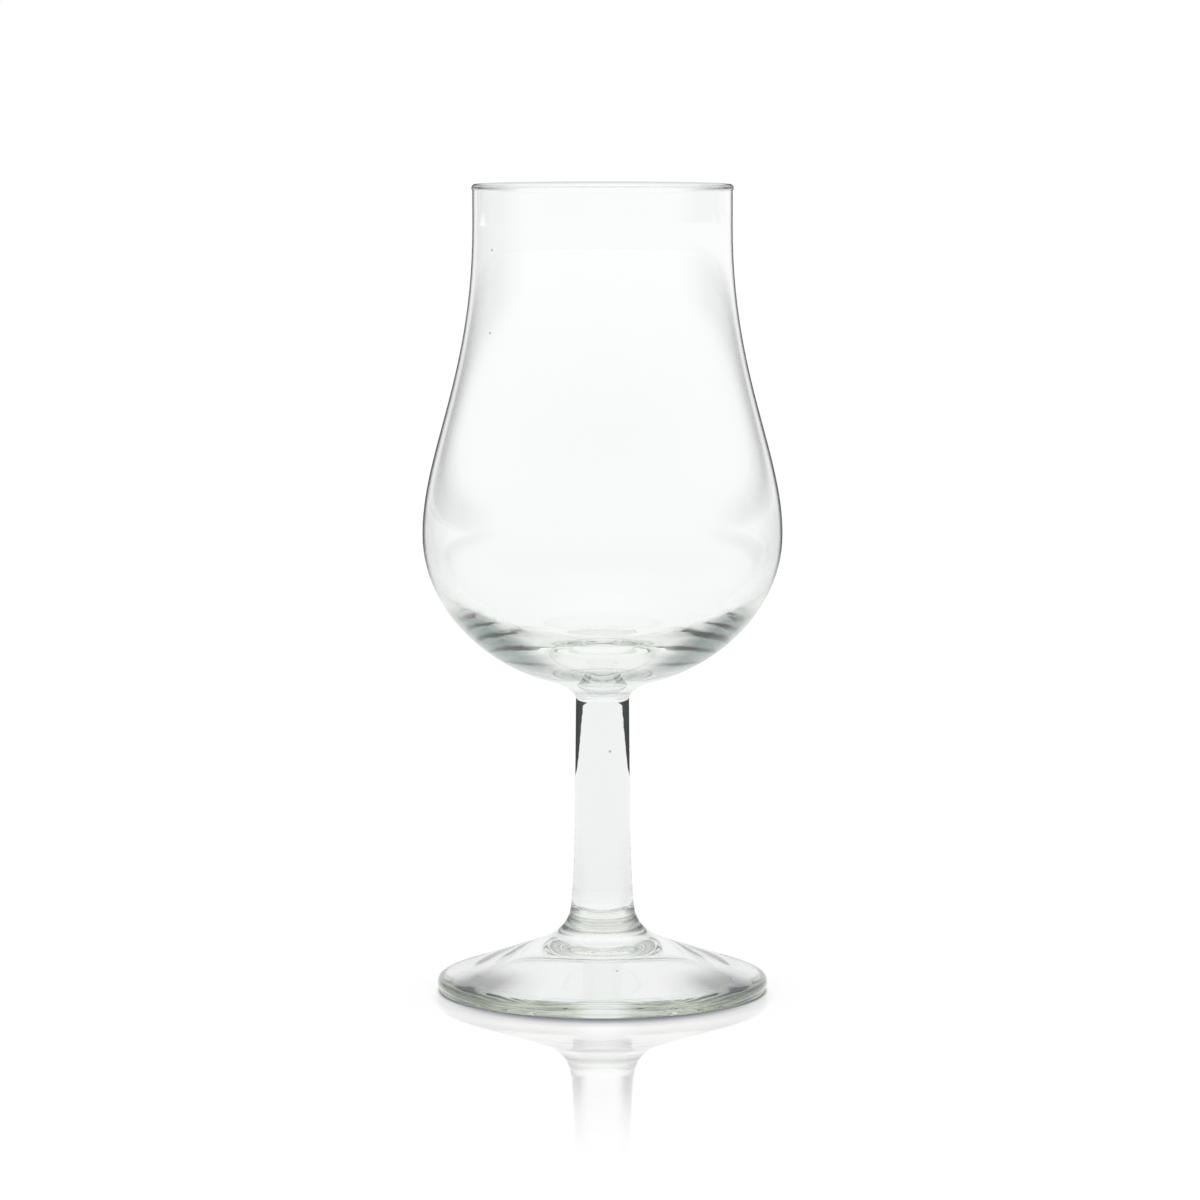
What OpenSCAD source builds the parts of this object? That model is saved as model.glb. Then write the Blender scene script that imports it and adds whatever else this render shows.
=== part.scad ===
// A short stemmed nosing glass, in millimetres.
// The glass stands on z = 0 with its axis on the origin, and +Z runs up to the rim.
// It is three gathers of clear glass, a bowl, a stem and a foot, fused on flat round faces.
// Each piece is a solid of revolution, drawn as a half section of [radius, height] points.

/* [Glass] */
// Height from the table to the rim
glass_h = 146; // [140:0.5:160]

/* [Bowl] */
// Height of the bowl from its fused end to the rim
bowl_h = 92.8; // [88:0.2:98]
// Outside diameter of the straight chimney under the rim
rim_d = 46.6; // [42:0.2:52]
// Length of the straight chimney
chimney_l = 7.4; // [4:0.2:14]
// Outside diameter at the belly
belly_d = 64.8; // [60:0.2:70]
// Height of the belly above the fused end
belly_rise = 30; // [27:0.5:33]
// Wall at the chimney
rim_wall = 1.1; // [0.9:0.05:1.8]
// Wall at the belly
belly_wall = 1.5; // [1.2:0.05:2.4]
// How far the fire-polished bead stands out of the wall, inside and outside
bead_out = 0.16; // [0.05:0.01:0.3]
// Glass between the fused end and the lowest point of the hollow
bowl_floor_t = 8.2; // [6:0.1:10]

/* [Stem] */
// Diameter where the stem meets the bowl
stem_top_d = 9.6; // [8:0.1:12]
// Diameter where the stem starts to swell towards the foot
stem_low_d = 10; // [9:0.1:11.4]
// Height above the table where that swelling starts
swell_h = 31; // [27:0.5:35]

/* [Foot] */
// Diameter of the foot
foot_d = 59.8; // [54:0.2:66]
// Height of the foot up to its fused face
foot_h = 14.5; // [13:0.1:16]
// Diameter of the fused face between foot and stem
foot_joint_d = 11.8; // [11.5:0.1:13]
// Height of the widest line of the foot's edge above the table
edge_h = 1.65; // [1.2:0.05:2.2]
// Width of the flat ring that the foot rests on
ring_w = 1.4; // [0.8:0.1:2.4]
// Distance of that ring from the foot's outermost line
ring_inset = 1.1; // [0.8:0.1:1.6]
// Height of the flat top of the punt, the hollow pressed into the underside
punt_h = 6.8; // [5:0.1:7.4]
// Diameter of that flat top, up to the middle of its rounding
punt_top_d = 20; // [16:0.2:26]
// Diameter where the wall of the punt starts
punt_mouth_d = 46; // [40:0.5:48]

/* [Hidden] */
$fn = 128;
// Straight steps along each curve of a section
curve_steps = 14;
glass_colour = [0.86, 0.93, 0.90, 0.45];

// Height of the face where bowl and stem are fused
bowl_z = glass_h - bowl_h;

// The nub under the bowl: a short straight neck, then a fillet out to the shoulder
neck_l = 0.2;
nub_w = 4.9;
nub_h = 3.3;
shoulder_angle = 14.3;
nub_side_share = 0.8;
nub_low_share = 0.2;

// Handles of the bowl's outer curves
ogee_top_share = 0.49;
ogee_low_share = 0.27;
bottom_side_share = 0.51;
bottom_low_share = 0.5;

// Handles of the hollow's bottom curve
hollow_side_share = 0.6;
hollow_low_share = 0.64;

// Handles and slopes of the swelling stem and the foot
joint_angle = 15;
swell_top_share = 0.16;
swell_low_share = 0.12;
flare_r = 11.6;
flare_h = 9.2;
flare_angle = 20;
flare_top_share = 0.7;
flare_low_share = 0.27;
dish_share = 0.98;
edge_top_share = 0.28;
edge_low_share = 0.55;

// Rise of the underside from its ring to the punt, and how much of each side its corners round off
mouth_rise = 1.2;
corner_share = 0.45;

// Point on the Bezier curve with control points p, at t from 0 to 1
function bezier(p, t) =
    len(p) == 1 ? p[0] : bezier([for (i = [0:len(p) - 2]) (1 - t) * p[i] + t * p[i + 1]], t);

// Points along that curve, without its last one
function curve(p) = [for (i = [0:curve_steps - 1]) bezier(p, i / curve_steps)];

// Points on an arc about centre c, from one angle up to and with another
function arc(c, r, from, to) =
    [for (i = [0:curve_steps]) let(a = from + (to - from) * i / curve_steps) c + r * [cos(a), sin(a)]];

// Chimney and ogee of the bowl, down to the belly, for a wall line of these radii
function ogee(chimney_r, belly_r) =
    let(
        top = [chimney_r, glass_h - chimney_l],
        low = [belly_r, bowl_z + belly_rise],
        drop = top.y - low.y
    )
    curve([top, top - [0, ogee_top_share * drop], low + [0, ogee_low_share * drop], low]);

// Outer line of the bowl from the belly down to its fused end
function bowl_bottom() =
    let(
        low_r = stem_top_d / 2,
        belly = [belly_d / 2, bowl_z + belly_rise],
        shoulder = [low_r + nub_w, bowl_z + neck_l + nub_h],
        slope = [1, tan(shoulder_angle)],
        drop = belly.y - shoulder.y
    )
    concat(
        curve([belly, belly - [0, bottom_side_share * drop],
               shoulder + bottom_low_share * (belly.x - shoulder.x) * slope, shoulder]),
        curve([shoulder, shoulder - nub_side_share * nub_w * slope,
               [low_r, bowl_z + neck_l + nub_low_share * nub_h], [low_r, bowl_z + neck_l]]),
        [[low_r, bowl_z + neck_l], [low_r, bowl_z]]
    );

// Inner line of the bowl from the belly down to the axis
function hollow_bottom() =
    let(
        belly = [belly_d / 2 - belly_wall, bowl_z + belly_rise],
        floor_z = bowl_z + bowl_floor_t,
        drop = belly.y - floor_z
    )
    concat(
        curve([belly, belly - [0, hollow_side_share * drop],
               [hollow_low_share * belly.x, floor_z], [0, floor_z]]),
        [[0, floor_z]]
    );

// Round bead over the wall, from its outer side over the top to its inner side
function bead() =
    let(
        bead_r = rim_wall / 2 + bead_out,
        lean = acos(rim_wall / 2 / bead_r)
    )
    arc([rim_d / 2 - rim_wall / 2, glass_h - bead_r], bead_r, -lean, 180 + lean);

// Line of the stem from its top face down to the fused face on the foot
function stem_side() =
    let(
        top = [stem_low_d / 2, swell_h],
        low = [foot_joint_d / 2, foot_h],
        drop = top.y - low.y
    )
    concat(
        [[stem_top_d / 2, bowl_z]],
        curve([top, top - [0, swell_top_share * drop],
               low + swell_low_share * drop * [-sin(joint_angle), cos(joint_angle)], low]),
        [low]
    );

// Line of the foot from its fused face out to the edge and under to the resting ring
function foot_side() =
    let(
        joint = [foot_joint_d / 2, foot_h],
        flare = [flare_r, flare_h],
        edge = [foot_d / 2, edge_h],
        ring = [foot_d / 2 - ring_inset, 0],
        slope = [cos(flare_angle), -sin(flare_angle)]
    )
    concat(
        curve([joint, joint + flare_top_share * (joint.y - flare.y) * [sin(joint_angle), -cos(joint_angle)],
               flare - flare_low_share * (flare.x - joint.x) * slope, flare]),
        curve([flare, flare + dish_share * (edge.x - flare.x) * slope,
               edge + [0, edge_top_share * (flare.y - edge.y)], edge]),
        curve([edge, edge - [0, edge_low_share * edge_h], ring + [edge_low_share * ring_inset, 0], ring]),
        [ring]
    );

// Points that round the corner at b of the line from a to c
function rounded(a, b, c) =
    let(
        from = b + corner_share * (a - b),
        to = b + corner_share * (c - b)
    )
    concat(curve([from, b, to]), [to]);

// Underside of the foot, from the ring's inner side over the punt's wall and flat top to the axis
function underside() =
    let(
        ring = [foot_d / 2 - ring_inset - ring_w, 0],
        mouth = [punt_mouth_d / 2, mouth_rise],
        top = [punt_top_d / 2, punt_h],
        middle = [0, punt_h]
    )
    concat([ring], rounded(ring, mouth, top), rounded(mouth, top, middle), [middle]);

module turned(section) {
    color(glass_colour) rotate_extrude() polygon(section);
}

// Blown bowl with its bead, its hollow and the nub that the stem is fused to
module bowl() {
    outer_r = rim_d / 2;
    turned(concat(
        [[0, bowl_z + bowl_floor_t]],
        [for (i = [len(hollow_bottom()) - 2:-1:0]) hollow_bottom()[i]],
        [for (i = [curve_steps - 1:-1:1]) ogee(outer_r - rim_wall, belly_d / 2 - belly_wall)[i]],
        [[outer_r - rim_wall, glass_h - chimney_l]],
        [for (i = [curve_steps:-1:0]) bead()[i]],
        ogee(outer_r, belly_d / 2),
        bowl_bottom(),
        [[0, bowl_z]]
    ));
}

// Solid stem, nearly straight, that swells into the foot
module stem() {
    turned(concat([[0, foot_h], [0, bowl_z]], stem_side()));
}

// Pressed foot: a cone flaring to a rounded edge, hollow underneath, resting on a narrow ring
module foot() {
    turned(concat([[0, foot_h]], foot_side(), underside()));
}

bowl();
stem();
foot();
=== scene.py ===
"""Studio picture of a clear stemmed nosing glass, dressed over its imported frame. Metres, +Z up."""
import math

import bmesh
import bpy
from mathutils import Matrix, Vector


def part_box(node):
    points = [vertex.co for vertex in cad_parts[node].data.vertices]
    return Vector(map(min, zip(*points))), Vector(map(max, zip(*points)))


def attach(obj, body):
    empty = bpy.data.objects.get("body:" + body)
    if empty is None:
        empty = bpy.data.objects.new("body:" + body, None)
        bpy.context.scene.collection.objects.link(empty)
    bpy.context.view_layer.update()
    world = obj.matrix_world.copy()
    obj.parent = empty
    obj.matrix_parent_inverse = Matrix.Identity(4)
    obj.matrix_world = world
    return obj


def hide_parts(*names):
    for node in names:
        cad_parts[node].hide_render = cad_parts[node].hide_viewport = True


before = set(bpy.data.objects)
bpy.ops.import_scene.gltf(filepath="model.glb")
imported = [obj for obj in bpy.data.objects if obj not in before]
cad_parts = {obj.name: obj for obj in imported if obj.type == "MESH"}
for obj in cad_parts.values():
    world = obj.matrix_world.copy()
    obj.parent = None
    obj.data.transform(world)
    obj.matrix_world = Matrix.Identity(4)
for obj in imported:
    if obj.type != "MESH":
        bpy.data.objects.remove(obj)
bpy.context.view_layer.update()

MM = 0.001

# Camera: where it stands, how far it looks down, and its lens
CAMERA_PLACE = (-0.45 * MM, -931 * MM, 164.3 * MM)
CAMERA_DIP = math.radians(5.71)
SENSOR = 36
LENS = 155.7
CAMERA_REACH = 100

# How finely sections are drawn and turned, which edges stay sharp, and how close points count as one
TURN_STEPS = 144
CURVE_STEPS = 26
SHARP_ANGLE = math.radians(30)
HAIR = 0.001 * MM

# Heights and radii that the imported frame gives, and the gap left at each fused joint
BOWL_LOW, BOWL_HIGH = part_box("bowl")
STEM_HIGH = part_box("stem")[1]
FOOT_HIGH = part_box("foot")[1]
RIM_Z = BOWL_HIGH.z
BOWL_Z = BOWL_LOW.z
FOOT_Z = FOOT_HIGH.z
BELLY_R = BOWL_HIGH.x
FOOT_R = FOOT_HIGH.x
FOOT_JOINT_R = STEM_HIGH.x
JOINT_GAP = 0.01 * MM

# Bowl: chimney, bead, belly, hollow and the nub under it, with the handles of their curves
RIM_R = 23.3 * MM
CHIMNEY_L = 7.4 * MM
BELLY_RISE = 30 * MM
RIM_WALL = 1.1 * MM
BELLY_WALL = 1.5 * MM
BEAD_OUT = 0.16 * MM
BOWL_FLOOR = 8.2 * MM
HOLLOW_SIDE_SHARE = 0.6
HOLLOW_LOW_SHARE = 0.64
OGEE_HIGH_SHARE = 0.49
OGEE_LOW_SHARE = 0.27
NECK_L = 0.2 * MM
NUB_W = 4.9 * MM
NUB_H = 3.3 * MM
NUB_SIDE_SHARE = 0.8
NUB_LOW_SHARE = 0.2
BOTTOM_SIDE_SHARE = 0.51
BOTTOM_LOW_SHARE = 0.5
SHOULDER_ANGLE = math.radians(14.3)

# Stem: nearly straight, then swelling towards the foot
STEM_TOP_R = 4.8 * MM
STEM_LOW_R = 5 * MM
SWELL_Z = 31 * MM
SWELL_HIGH_SHARE = 0.16
SWELL_LOW_SHARE = 0.12
JOINT_LEAN = math.radians(15)

# Foot: flare, flank, rounded edge, resting ring and the punt under it
FLARE_R = 11.6 * MM
FLARE_Z = 9.2 * MM
FLARE_ANGLE = math.radians(20)
FLARE_HIGH_SHARE = 0.7
FLARE_LOW_SHARE = 0.27
FLANK_SHARE = 0.98
EDGE_SHARE = 0.28
EDGE_Z = 1.65 * MM
EDGE_ROUND_SHARE = 0.55
RING_WIDTH = 1.4 * MM
RING_INSET = 1.1 * MM
PUNT_Z = 6.8 * MM
PUNT_TOP_R = 10 * MM
PUNT_MOUTH_R = 23 * MM
MOUTH_RISE = 1.2 * MM
CORNER_SHARE = 0.45

# Sockets of a Mix node for colours, the mean of a noise, and what keeps the level part of a place
MIX_LOW, MIX_HIGH, MIX_RESULT = 6, 7, 2
NOISE_MEAN = 0.5
LEVEL_PART = (1, 1, 0)
WHITE = (1, 1, 1, 1)
BLACK = (0, 0, 0, 1)

# Glass: how it bends light, its tint, painted shade where it is thick, and painted shade laid on its
# edges as a dark coat
GLASS_IOR = 1.5
TINT = (0.89, 0.92, 0.88, 1)
TINT_DENSITY = 14
THIN = (0.982, 0.988, 0.987, 1)
# Dark teal of the painted shade in belly, bottom and stem
THICK_SHADE = (0.012, 0.055, 0.05, 1)
# Olive of the foot's rim, partly glass seen edge-on and partly painted shade
OLIVE_AND_SHADE = (0.5, 0.55, 0.44, 1)
# Tint of the dark coat that paints shade at the edges
EDGE_SHADE_TINT = (0.03, 0.11, 0.095, 1)
EDGE_SHADE_IOR = 1
GRAZING_BLEND = 0.5

# Painted shade at the stem's edges: from which grazing share on, by share of the glass's height
STEM_EDGE_SOFTNESS = 0.04
STEM_EDGES = ((0.265, 1), (0.278, 0.63), (0.3, 0.49), (0.321, 0.41), (0.3615, 0.29), (0.3625, 0.17),
              (0.3642, 0.17), (0.3646, 1))
STEM_EDGE_DARK = 0.93
EDGE_WAVES = 900
EDGE_WAVE_DEPTH = 0.08

# Painted shade of belly, bottom and stem, by grazing share and by share of the glass's height. Below
# its turn, the lower the place the more the bottom's painted shade draws back to the outline.
BELLY_SHADE = ((0, 0.03), (0.34, 0.05), (0.48, 0.09), (0.6, 0.27), (0.7, 0.45), (0.76, 0.55),
              (0.85, 0.45))
BELLY_SPAN = ((0.47, 0.3), (0.52, 0.7), (0.55, 1), (0.595, 1), (0.625, 0.4), (0.66, 0.1), (0.99, 0))
BOTTOM_SHADE = ((0.44, 0), (0.5, 0.75), (0.56, 0.95), (0.76, 0.98), (0.85, 0.85), (0.92, 0.68),
               (0.98, 0.35))
BOTTOM_SPAN = ((0.385, 0), (0.4, 0.5), (0.415, 0.92), (0.45, 0.97), (0.474, 0.9), (0.484, 0.45),
               (0.494, 0))
BOTTOM_TURN = 0.45
BOTTOM_LEAN = 4
STEM_SHADE = ((0.1, 0), (0.12, 0.12), (0.364, 0.12), (0.3646, 0))

# Foot: painted shade in patches towards its ends, and the streaked rim, olive as glass seen edge-on and
# darkened by painted shade, by grazing share of an upright face and by share of the height
TIP_EDGE = ((0.1, 0), (0.2, 0.15), (0.33, 0.55), (0.55, 0.6), (0.7, 0.25), (0.85, 0.1))
TIP_SPAN = ((0.01, 0.4), (0.016, 0.5), (0.022, 0.9), (0.03, 0.9), (0.042, 0))
RIM_EDGE = ((0.021, 0.1), (0.03, 1))
RIM_SPAN = ((0.016, 1), (0.023, 0))
STREAKS = ((0.35, 0.5), (0.5, 0.8), (0.6, 1))
STREAK_FINENESS = 120
STREAK_FLATNESS = (1, 1, 30)

# Waves of the thick glass: how strong by share of the height, how fine, how flat and how deep
WAVE_SPAN = ((0.2, 1), (0.26, 0), (0.37, 0), (0.4, 1), (0.46, 1), (0.56, 0))
WAVE_FINENESS = 160
WAVE_FLATNESS = (1, 1, 5)
WAVE_DEPTH = 0.012 * MM

# Painted shade at the edges of the bowl and its bead by grazing share, and how much of it by share of the
# height
BOWL_EDGE = ((0.7, 0), (0.79, 0.05), (0.83, 0.35), (0.87, 0.75), (0.92, 0.85))
BOWL_EDGE_SPAN = ((0.49, 0.1), (0.56, 1))
BEAD_EDGE = ((0.2, 0), (0.5, 0.6), (0.8, 0.95))
BEAD_SPAN = ((0.9955, 0), (0.9962, 1), (0.9974, 1), (0.9981, 0))
FAR_BEAD = ((0.996, 0), (0.9975, 0.35), (0.999, 0.35))

# Rings where the stem meets the foot: thin dark lines all round, and beads of painted shade at the edges
RINGS = ((0.0915, 0), (0.0927, 0.45), (0.0939, 0), (0.1035, 0), (0.1045, 0.3), (0.1055, 0))
RING_EDGE = ((0.2, 0), (0.35, 0.45), (0.6, 0.95))
RING_BEADS = ((0.076, 0), (0.081, 0.9), (0.086, 0.2), (0.092, 0.9), (0.097, 0.2), (0.104, 0.9),
              (0.109, 0))

# Seeds, tiny bubbles just under the skin: where they are, how far each one shows, and how dark
SEEDS = ((-19.52 * MM, -12.84 * MM, 134.61 * MM), (-19.86 * MM, -14.87 * MM, 120.05 * MM),
         (1.35 * MM, -4.69 * MM, 44.3 * MM), (2.58 * MM, -18.49 * MM, 6.7 * MM))
SEED_SIZE = 0.36 * MM
SEED_DARK = 0.7

# Floor: white, with a gloss that fades outwards and a shadow where the foot stands
FLOOR_SIZE = 4
FLOOR_WHITE = (0.3, 0.3, 0.3, 1)
FLOOR_GLOW = 0.77
GLOSS_REACH = 175 * MM
GLOSS = ((0.17, 0.15), (0.22, 0.2), (0.3, 0.55), (0.45, 0.42), (0.8, 0.1), (1, 0))
CONTACT_PLACE = (0, -7 * MM, 0)
CONTACT_SPAN = 60 * MM
CONTACT_RING = ((0.44, 0), (0.465, 1), (0.49, 0.85), (0.502, 0))
CONTACT_FADE = ((0.383, 0.9), (0.4, 0.88), (0.43, 0.62), (0.46, 0.28), (0.5, 0.08), (0.517, 0))
CONTACT_DARK = (0.03, 0.02, 0.07, 1)
CONTACT_SIDES = ((0.1, 0), (0.15, 0.55), (0.7, 0.75), (0.95, 0.85))

# Studio light by the sine of its height above the horizon, and where back, side and front meet
BACK_LIGHT = ((0.3, 1), (0.5, 0.92), (0.8, 1))
SIDE_LIGHT = ((0, 1), (0.02, 0.5), (0.04, 0.15), (0.1, 0.15), (0.14, 0.65), (0.18, 0.85), (0.7, 0.8),
              (0.87, 1))
DIMMING_SPAN = ((0.1, 1), (0.15, 0))
FRONT_LIGHT = ((0.05, 1), (0.25, 0.85), (0.5, 0.6), (0.77, 0.6), (0.87, 1))
BACK_TO_SIDE = (0.95, 0.8, 0, 1)
SIDE_TO_FRONT = (0.2, -0.3, 0, 1)
LEFT_DIMMING = 0.6
LIGHT_BOUNCES = 64


def bezier(handles, t):
    """Point on the Bezier curve with these control points."""
    if len(handles) == 1:
        return handles[0]
    return bezier([a.lerp(b, t) for a, b in zip(handles, handles[1:])], t)


def curve(*handles):
    """Points along that curve, without its last one."""
    return [bezier([Vector(h) for h in handles], i / CURVE_STEPS) for i in range(CURVE_STEPS)]


def arc(centre, radius, start, end):
    """Points on an arc about centre, both ends with it."""
    angles = [start + (end - start) * i / CURVE_STEPS for i in range(CURVE_STEPS + 1)]
    return [Vector(centre) + radius * Vector((math.cos(a), math.sin(a))) for a in angles]


def line(start, end):
    """Points along a straight stretch, without its last one."""
    return [Vector(start).lerp(Vector(end), i / CURVE_STEPS) for i in range(CURVE_STEPS)]


def rounded(path):
    """Points along a bent line, with its corners rounded."""
    out = [path[0]]
    for before, corner, after in zip(path, path[1:], path[2:]):
        start = corner.lerp(before, CORNER_SHARE)
        end = corner.lerp(after, CORNER_SHARE)
        out += line(out.pop(), start) + curve(start, corner, end) + [end]
    return out + line(out.pop(), path[-1]) + [path[-1]]


def ogee(chimney_r, belly_r, bead_low):
    """Chimney and ogee of the bowl, from the bead down to the belly."""
    top = Vector((chimney_r, RIM_Z - CHIMNEY_L))
    low = Vector((belly_r, BOWL_Z + BELLY_RISE))
    drop = Vector((0, top.y - low.y))
    side = curve(top, top - OGEE_HIGH_SHARE * drop, low + OGEE_LOW_SHARE * drop, low)
    return line((chimney_r, bead_low), top)[1:] + side


def lifted(section, height, shift):
    """The section with its points at this height moved by shift, which leaves a gap at the joint."""
    return [Vector((p.x, p.y + shift)) if abs(p.y - height) < HAIR else p for p in section]


def bowl_section():
    """Half section of the bowl, from its hollow over the bead and down the outside to its fused end."""
    belly = Vector((BELLY_R, BOWL_Z + BELLY_RISE))
    neck = Vector((STEM_TOP_R, BOWL_Z + NECK_L))
    shoulder = neck + Vector((NUB_W, NUB_H))
    slope = Vector((1, math.tan(SHOULDER_ANGLE)))
    drop = Vector((0, belly.y - shoulder.y))
    bead_r = RIM_WALL / 2 + BEAD_OUT
    lean = math.acos(RIM_WALL / 2 / bead_r)
    bead_low = RIM_Z - bead_r - bead_r * math.sin(lean)
    outside = ogee(RIM_R, BELLY_R, bead_low)
    outside += curve(belly, belly - BOTTOM_SIDE_SHARE * drop,
                     shoulder + BOTTOM_LOW_SHARE * (belly.x - shoulder.x) * slope, shoulder)
    outside += curve(shoulder, shoulder - NUB_SIDE_SHARE * NUB_W * slope,
                     neck + Vector((0, NUB_LOW_SHARE * NUB_H)), neck)
    outside += line(neck, (STEM_TOP_R, BOWL_Z)) + [Vector((STEM_TOP_R, BOWL_Z))]
    inner = Vector((BELLY_R - BELLY_WALL, belly.y))
    floor_z = BOWL_Z + BOWL_FLOOR
    hollow = ogee(RIM_R - RIM_WALL, BELLY_R - BELLY_WALL, bead_low)
    hollow += curve(inner, inner - Vector((0, HOLLOW_SIDE_SHARE * (inner.y - floor_z))),
                    (HOLLOW_LOW_SHARE * inner.x, floor_z), (0, floor_z))
    bead = arc((RIM_R - RIM_WALL / 2, RIM_Z - bead_r), bead_r, math.pi + lean, -lean)
    section = [Vector((0, floor_z))] + hollow[::-1] + bead + outside + [Vector((0, BOWL_Z))]
    return lifted(section, BOWL_Z, JOINT_GAP)


def stem_section():
    """Half section of the stem, from its top down to the fused face on the foot."""
    top = Vector((STEM_LOW_R, SWELL_Z))
    low = Vector((FOOT_JOINT_R, FOOT_Z))
    drop = top.y - low.y
    lean = Vector((-math.sin(JOINT_LEAN), math.cos(JOINT_LEAN)))
    side = line((STEM_TOP_R, BOWL_Z), top)
    side += curve(top, top - Vector((0, SWELL_HIGH_SHARE * drop)),
                  low + SWELL_LOW_SHARE * drop * lean, low)
    return [Vector((0, BOWL_Z))] + side + [low, Vector((0, FOOT_Z))]


def foot_section():
    """Half section of the foot, from its fused face out over the edge and under to the axis."""
    joint = Vector((FOOT_JOINT_R, FOOT_Z))
    flare = Vector((FLARE_R, FLARE_Z))
    edge = Vector((FOOT_R, EDGE_Z))
    ring = Vector((FOOT_R - RING_INSET, 0))
    lean = Vector((math.sin(JOINT_LEAN), -math.cos(JOINT_LEAN)))
    slope = Vector((math.cos(FLARE_ANGLE), -math.sin(FLARE_ANGLE)))
    top = curve(joint, joint + FLARE_HIGH_SHARE * (joint.y - flare.y) * lean,
                flare - FLARE_LOW_SHARE * (flare.x - joint.x) * slope, flare)
    top += curve(flare, flare + FLANK_SHARE * (edge.x - flare.x) * slope,
                 edge + Vector((0, EDGE_SHARE * (flare.y - edge.y))), edge)
    top += curve(edge, edge - Vector((0, EDGE_ROUND_SHARE * EDGE_Z)),
                 ring + Vector((EDGE_ROUND_SHARE * RING_INSET, 0)), ring)
    under = rounded([Vector((ring.x - RING_WIDTH, 0)), Vector((PUNT_MOUTH_R, MOUTH_RISE)),
                     Vector((PUNT_TOP_R, PUNT_Z)), Vector((0, PUNT_Z))])
    section = [Vector((0, FOOT_Z))] + top + [ring] + under
    return lifted(section, FOOT_Z, -JOINT_GAP)


def turned(name, section, material):
    """A closed solid of revolution, spun from a half section of (radius, height) points."""
    mesh = bmesh.new()
    points = [mesh.verts.new((p.x, 0, p.y)) for p in section]
    edges = [mesh.edges.new(pair) for pair in zip(points, points[1:])]
    bmesh.ops.spin(mesh, geom=points + edges, cent=(0, 0, 0), axis=(0, 0, 1), angle=2 * math.pi,
                   steps=TURN_STEPS, use_merge=True)
    bmesh.ops.remove_doubles(mesh, verts=mesh.verts, dist=HAIR)
    bmesh.ops.recalc_face_normals(mesh, faces=mesh.faces)
    for face in mesh.faces:
        face.smooth = True
    for edge in mesh.edges:
        edge.smooth = edge.calc_face_angle(0) < SHARP_ANGLE
    fused = mesh.faces.layers.float.new("fused_face")
    skin = mesh.faces.layers.float.new("outer_skin")
    for face in mesh.faces:
        at = face.calc_center_median()
        face[fused] = float(any(abs(at.z - z) < 2 * JOINT_GAP for z in (BOWL_Z, FOOT_Z)))
        face[skin] = float(face.normal.xy.dot(at.xy) > 0)
    data = bpy.data.meshes.new(name)
    mesh.to_mesh(data)
    mesh.free()
    data.materials.append(material)
    piece = bpy.data.objects.new(name, data)
    bpy.context.scene.collection.objects.link(piece)
    return piece


def join(tree, value, socket):
    """Gives a socket this value, or links it to this output."""
    if isinstance(value, bpy.types.NodeSocket):
        tree.links.new(value, socket)
    elif value is not None:
        socket.default_value = value


def add_node(tree, kind, *values, **settings):
    """A shader node with these settings, whose inputs take these values or outputs in turn."""
    made = tree.nodes.new("ShaderNode" + kind)
    for name, setting in settings.items():
        setattr(made, name, setting)
    for value, socket in zip(values, made.inputs):
        join(tree, value, socket)
    return made


def calc(tree, operation, *values):
    """Output of a Math node."""
    return add_node(tree, "Math", *values, operation=operation).outputs[0]


def blend(tree, share, low, high):
    """A colour that goes from low to high as share goes from 0 to 1."""
    made = add_node(tree, "Mix", share, data_type="RGBA")
    join(tree, low, made.inputs[MIX_LOW])
    join(tree, high, made.inputs[MIX_HIGH])
    return made.outputs[MIX_RESULT]


def ramp(tree, value, stops):
    """A grey ramp through these (position, brightness) stops."""
    made = add_node(tree, "ValToRGB", value)
    bar = made.color_ramp.elements
    bar.remove(bar[1])
    for i, (position, grey) in enumerate(stops):
        stop = bar.new(position) if i else bar[0]
        stop.position = position
        stop.color = (grey, grey, grey, 1)
    return made.outputs["Color"]


def place_and_share(tree):
    """Place on the glass, and its share of the height."""
    place = add_node(tree, "TexCoord").outputs["Object"]
    return place, calc(tree, "DIVIDE", add_node(tree, "SeparateXYZ", place).outputs["Z"], RIM_Z)


def grazing(tree, place):
    """How much the view grazes the face, and how much it would graze an upright face there."""
    facing = add_node(tree, "LayerWeight", GRAZING_BLEND).outputs["Facing"]
    level = add_node(tree, "VectorMath", place, LEVEL_PART, operation="MULTIPLY").outputs[0]
    upright = add_node(tree, "VectorMath", level, operation="NORMALIZE").outputs[0]
    return facing, add_node(tree, "LayerWeight", GRAZING_BLEND, upright).outputs["Facing"]


def streaked(tree, place, fineness, flatness):
    """Noise from 0 to 1 whose grains are drawn out level."""
    flat = add_node(tree, "VectorMath", place, flatness, operation="MULTIPLY").outputs[0]
    return add_node(tree, "TexNoise", flat, None, fineness).outputs["Fac"]


def banded(tree, value, stops, share, span):
    """A ramp over one value, faded by another ramp over the share of the height."""
    return calc(tree, "MULTIPLY", ramp(tree, value, stops), ramp(tree, share, span))


def most(tree, first, *others):
    """The greatest of these values."""
    for other in others:
        first = calc(tree, "MAXIMUM", first, other)
    return first


def seeds(tree, place):
    """Soft dark dots on the glass where it has seeds."""
    dots = []
    for seed in SEEDS:
        away = add_node(tree, "VectorMath", place, seed, operation="DISTANCE").outputs["Value"]
        dots.append(add_node(tree, "MapRange", away, SEED_SIZE, 0, 0, SEED_DARK).outputs[0])
    return most(tree, *dots)


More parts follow.
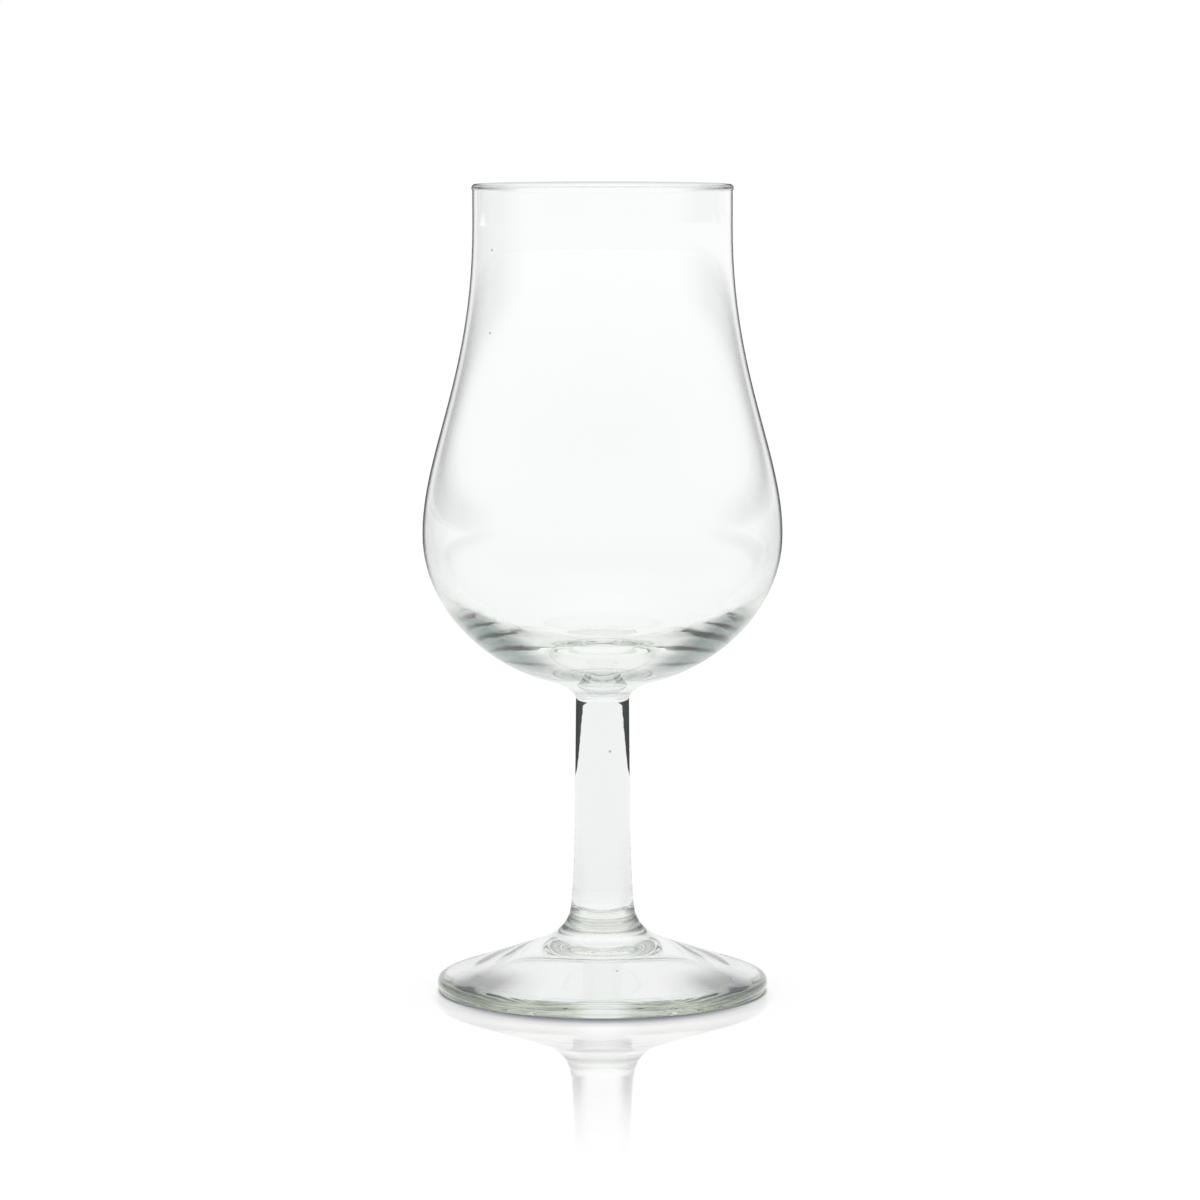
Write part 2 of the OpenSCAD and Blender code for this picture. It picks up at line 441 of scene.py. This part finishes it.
def painted_edge_shade(tree):
    """How much dark coat lies over the glass, seen from outside: painted shade at its edges, thin lines
    at the rings, dark dots at seeds.
    """
    place, share = place_and_share(tree)
    facing, around = grazing(tree, place)
    ripple = add_node(tree, "TexNoise", place, None, EDGE_WAVES).outputs["Fac"]
    wavy = calc(tree, "MULTIPLY_ADD", calc(tree, "SUBTRACT", ripple, NOISE_MEAN), EDGE_WAVE_DEPTH, facing)
    start = ramp(tree, share, STEM_EDGES)
    end = calc(tree, "ADD", start, STEM_EDGE_SOFTNESS)
    stem = add_node(tree, "MapRange", wavy, start, end, 0, STEM_EDGE_DARK,
                    interpolation_type="SMOOTHSTEP").outputs[0]
    bowl = banded(tree, facing, BOWL_EDGE, share, BOWL_EDGE_SPAN)
    bead = banded(tree, facing, BEAD_EDGE, share, BEAD_SPAN)
    tips = banded(tree, around, TIP_EDGE, share, TIP_SPAN)
    beads = banded(tree, facing, RING_EDGE, share, RING_BEADS)
    rings = ramp(tree, share, RINGS)
    skin = add_node(tree, "Attribute", attribute_name="outer_skin").outputs["Fac"]
    dark = most(tree, stem, bowl, bead, tips, beads, rings, seeds(tree, place))
    outer = calc(tree, "MULTIPLY", dark, skin)
    inner = calc(tree, "MULTIPLY", ramp(tree, share, FAR_BEAD), calc(tree, "SUBTRACT", 1, skin))
    inside = tree.nodes.new("ShaderNodeNewGeometry").outputs["Backfacing"]
    return calc(tree, "MULTIPLY", calc(tree, "ADD", outer, inner), calc(tree, "SUBTRACT", 1, inside))


def colour_and_shade(tree):
    """Colour: nearly clear, painted shade where thick, the foot's rim olive as glass edge-on, streaked
    with painted shade.
    """
    place, share = place_and_share(tree)
    facing, around = grazing(tree, place)
    skin = add_node(tree, "Attribute", attribute_name="outer_skin").outputs["Fac"]
    belly = banded(tree, facing, BELLY_SHADE, share, BELLY_SPAN)
    below = calc(tree, "MINIMUM", calc(tree, "SUBTRACT", share, BOTTOM_TURN), 0)
    leaning = calc(tree, "ADD", facing, calc(tree, "MULTIPLY", below, BOTTOM_LEAN))
    bottom = banded(tree, leaning, BOTTOM_SHADE, share, BOTTOM_SPAN)
    shade_share = calc(tree, "MULTIPLY", most(tree, belly, bottom, ramp(tree, share, STEM_SHADE)), skin)
    streaks = ramp(tree, streaked(tree, place, STREAK_FINENESS, STREAK_FLATNESS), STREAKS)
    # The rim: olive of glass seen edge-on, partly painted shade, in streaks
    rim = calc(tree, "MULTIPLY", banded(tree, around, RIM_EDGE, share, RIM_SPAN), streaks)
    return blend(tree, calc(tree, "MULTIPLY", rim, skin), blend(tree, shade_share, THIN, THICK_SHADE), OLIVE_AND_SHADE)


def waves(tree):
    """Normals of slightly wavy glass, in the thick bottom of the bowl and in the foot."""
    place, share = place_and_share(tree)
    height = streaked(tree, place, WAVE_FINENESS, WAVE_FLATNESS)
    bump = tree.nodes.new("ShaderNodeBump")
    bump.inputs["Strength"].default_value = 1
    bump.inputs["Distance"].default_value = WAVE_DEPTH
    join(tree, calc(tree, "MULTIPLY", height, ramp(tree, share, WAVE_SPAN)), bump.inputs["Height"])
    return bump.outputs[0]


def glass_material():
    """Clear glass with its colour, painted shade and waves, and with clear faces where two gathers are
    fused.
    """
    material = bpy.data.materials.new("clear_glass")
    material.use_nodes = True
    tree = material.node_tree
    shader = tree.nodes["Principled BSDF"]
    shader.inputs["Roughness"].default_value = 0
    shader.inputs["IOR"].default_value = GLASS_IOR
    shader.inputs["Transmission Weight"].default_value = 1
    shader.inputs["Coat Roughness"].default_value = 0
    shader.inputs["Coat IOR"].default_value = EDGE_SHADE_IOR
    shader.inputs["Coat Tint"].default_value = EDGE_SHADE_TINT
    # The base colour carries painted shade, and the coat paints shade at the edges
    join(tree, colour_and_shade(tree), shader.inputs["Base Color"])
    join(tree, painted_edge_shade(tree), shader.inputs["Coat Weight"])
    join(tree, waves(tree), shader.inputs["Normal"])
    fused = add_node(tree, "Attribute", attribute_name="fused_face").outputs["Fac"]
    clear = add_node(tree, "BsdfTransparent").outputs[0]
    surface = add_node(tree, "MixShader", fused, shader.outputs[0], clear).outputs[0]
    tint = add_node(tree, "VolumeAbsorption", TINT, TINT_DENSITY).outputs[0]
    join(tree, surface, tree.nodes["Material Output"].inputs["Surface"])
    join(tree, tint, tree.nodes["Material Output"].inputs["Volume"])
    return material


def floor_material():
    """Matt white as bright as the backdrop, with a gloss round the foot that fades outwards."""
    material = bpy.data.materials.new("white_floor")
    material.use_nodes = True
    tree = material.node_tree
    tree.nodes.clear()
    place = add_node(tree, "TexCoord").outputs["Object"]
    away = add_node(tree, "VectorMath", place, operation="LENGTH").outputs["Value"]
    near = add_node(tree, "VectorMath", place, CONTACT_PLACE, operation="DISTANCE").outputs["Value"]
    across = calc(tree, "ABSOLUTE", add_node(tree, "SeparateXYZ", place).outputs["X"])
    sides = ramp(tree, calc(tree, "DIVIDE", across, FOOT_R), CONTACT_SIDES)
    beyond = calc(tree, "GREATER_THAN", away, FOOT_R - RING_INSET)
    ring = ramp(tree, calc(tree, "DIVIDE", away, CONTACT_SPAN), CONTACT_RING)
    under = calc(tree, "MULTIPLY", ring, calc(tree, "MAXIMUM", sides, beyond))
    front = ramp(tree, calc(tree, "DIVIDE", near, CONTACT_SPAN), CONTACT_FADE)
    shade = calc(tree, "MAXIMUM", under, calc(tree, "MULTIPLY", front, beyond))
    fade = ramp(tree, calc(tree, "DIVIDE", away, GLOSS_REACH), GLOSS)
    outside = calc(tree, "GREATER_THAN", away, FOOT_R)
    unshaded = calc(tree, "MULTIPLY", calc(tree, "SUBTRACT", 1, shade), outside)
    gloss = calc(tree, "MULTIPLY", fade, unshaded)
    matt = add_node(tree, "BsdfDiffuse", FLOOR_WHITE).outputs[0]
    glow = add_node(tree, "Emission", blend(tree, shade, WHITE, CONTACT_DARK), FLOOR_GLOW).outputs[0]
    mirror = add_node(tree, "BsdfAnisotropic", WHITE, 0).outputs[0]
    lit = add_node(tree, "AddShader", matt, glow).outputs[0]
    surface = add_node(tree, "MixShader", gloss, lit, mirror).outputs[0]
    join(tree, surface, add_node(tree, "OutputMaterial").inputs["Surface"])
    return material


def studio_world():
    """Bright behind the glass and overhead, dimmer at the sides and behind the camera."""
    world = bpy.data.worlds.new("studio")
    world.use_nodes = True
    tree = world.node_tree
    x, y, z = add_node(tree, "SeparateXYZ", add_node(tree, "TexCoord").outputs["Generated"]).outputs
    level = calc(tree, "SQRT", calc(tree, "SUBTRACT", 1, calc(tree, "MULTIPLY", z, z)))
    back = calc(tree, "DIVIDE", y, level)
    side_share = add_node(tree, "MapRange", back, *BACK_TO_SIDE).outputs[0]
    front_share = add_node(tree, "MapRange", back, *SIDE_TO_FRONT).outputs[0]
    left = calc(tree, "DIVIDE", calc(tree, "MINIMUM", x, 0), level)
    low = calc(tree, "MULTIPLY", ramp(tree, z, DIMMING_SPAN), LEFT_DIMMING)
    dimming = calc(tree, "ADD", 1, calc(tree, "MULTIPLY", left, low))
    side = blend(tree, dimming, BLACK, ramp(tree, z, SIDE_LIGHT))
    light = blend(tree, side_share, ramp(tree, z, BACK_LIGHT), side)
    light = blend(tree, front_share, light, ramp(tree, z, FRONT_LIGHT))
    join(tree, light, tree.nodes["Background"].inputs["Color"])
    return world


glass = glass_material()
for node, section in (("bowl", bowl_section), ("stem", stem_section), ("foot", foot_section)):
    piece = turned(node + "_glass", section(), glass)
    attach(piece, "root")
    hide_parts(node)

sheet = bmesh.new()
bmesh.ops.create_grid(sheet, size=FLOOR_SIZE)
floor_mesh = bpy.data.meshes.new("floor")
sheet.to_mesh(floor_mesh)
sheet.free()
floor_mesh.materials.append(floor_material())
floor = bpy.data.objects.new("floor", floor_mesh)
bpy.context.scene.collection.objects.link(floor)

camera_data = bpy.data.cameras.new("camera")
camera_data.sensor_width = SENSOR
camera_data.lens = LENS
camera_data.clip_end = CAMERA_REACH
camera = bpy.data.objects.new("camera", camera_data)
camera.location = CAMERA_PLACE
camera.rotation_euler = (math.pi / 2 - CAMERA_DIP, 0, 0)
bpy.context.scene.collection.objects.link(camera)

scene = bpy.context.scene
scene.camera = camera
scene.world = studio_world()
scene.view_settings.view_transform = "Standard"
scene.cycles.max_bounces = LIGHT_BOUNCES
scene.cycles.transmission_bounces = LIGHT_BOUNCES
scene.cycles.glossy_bounces = LIGHT_BOUNCES
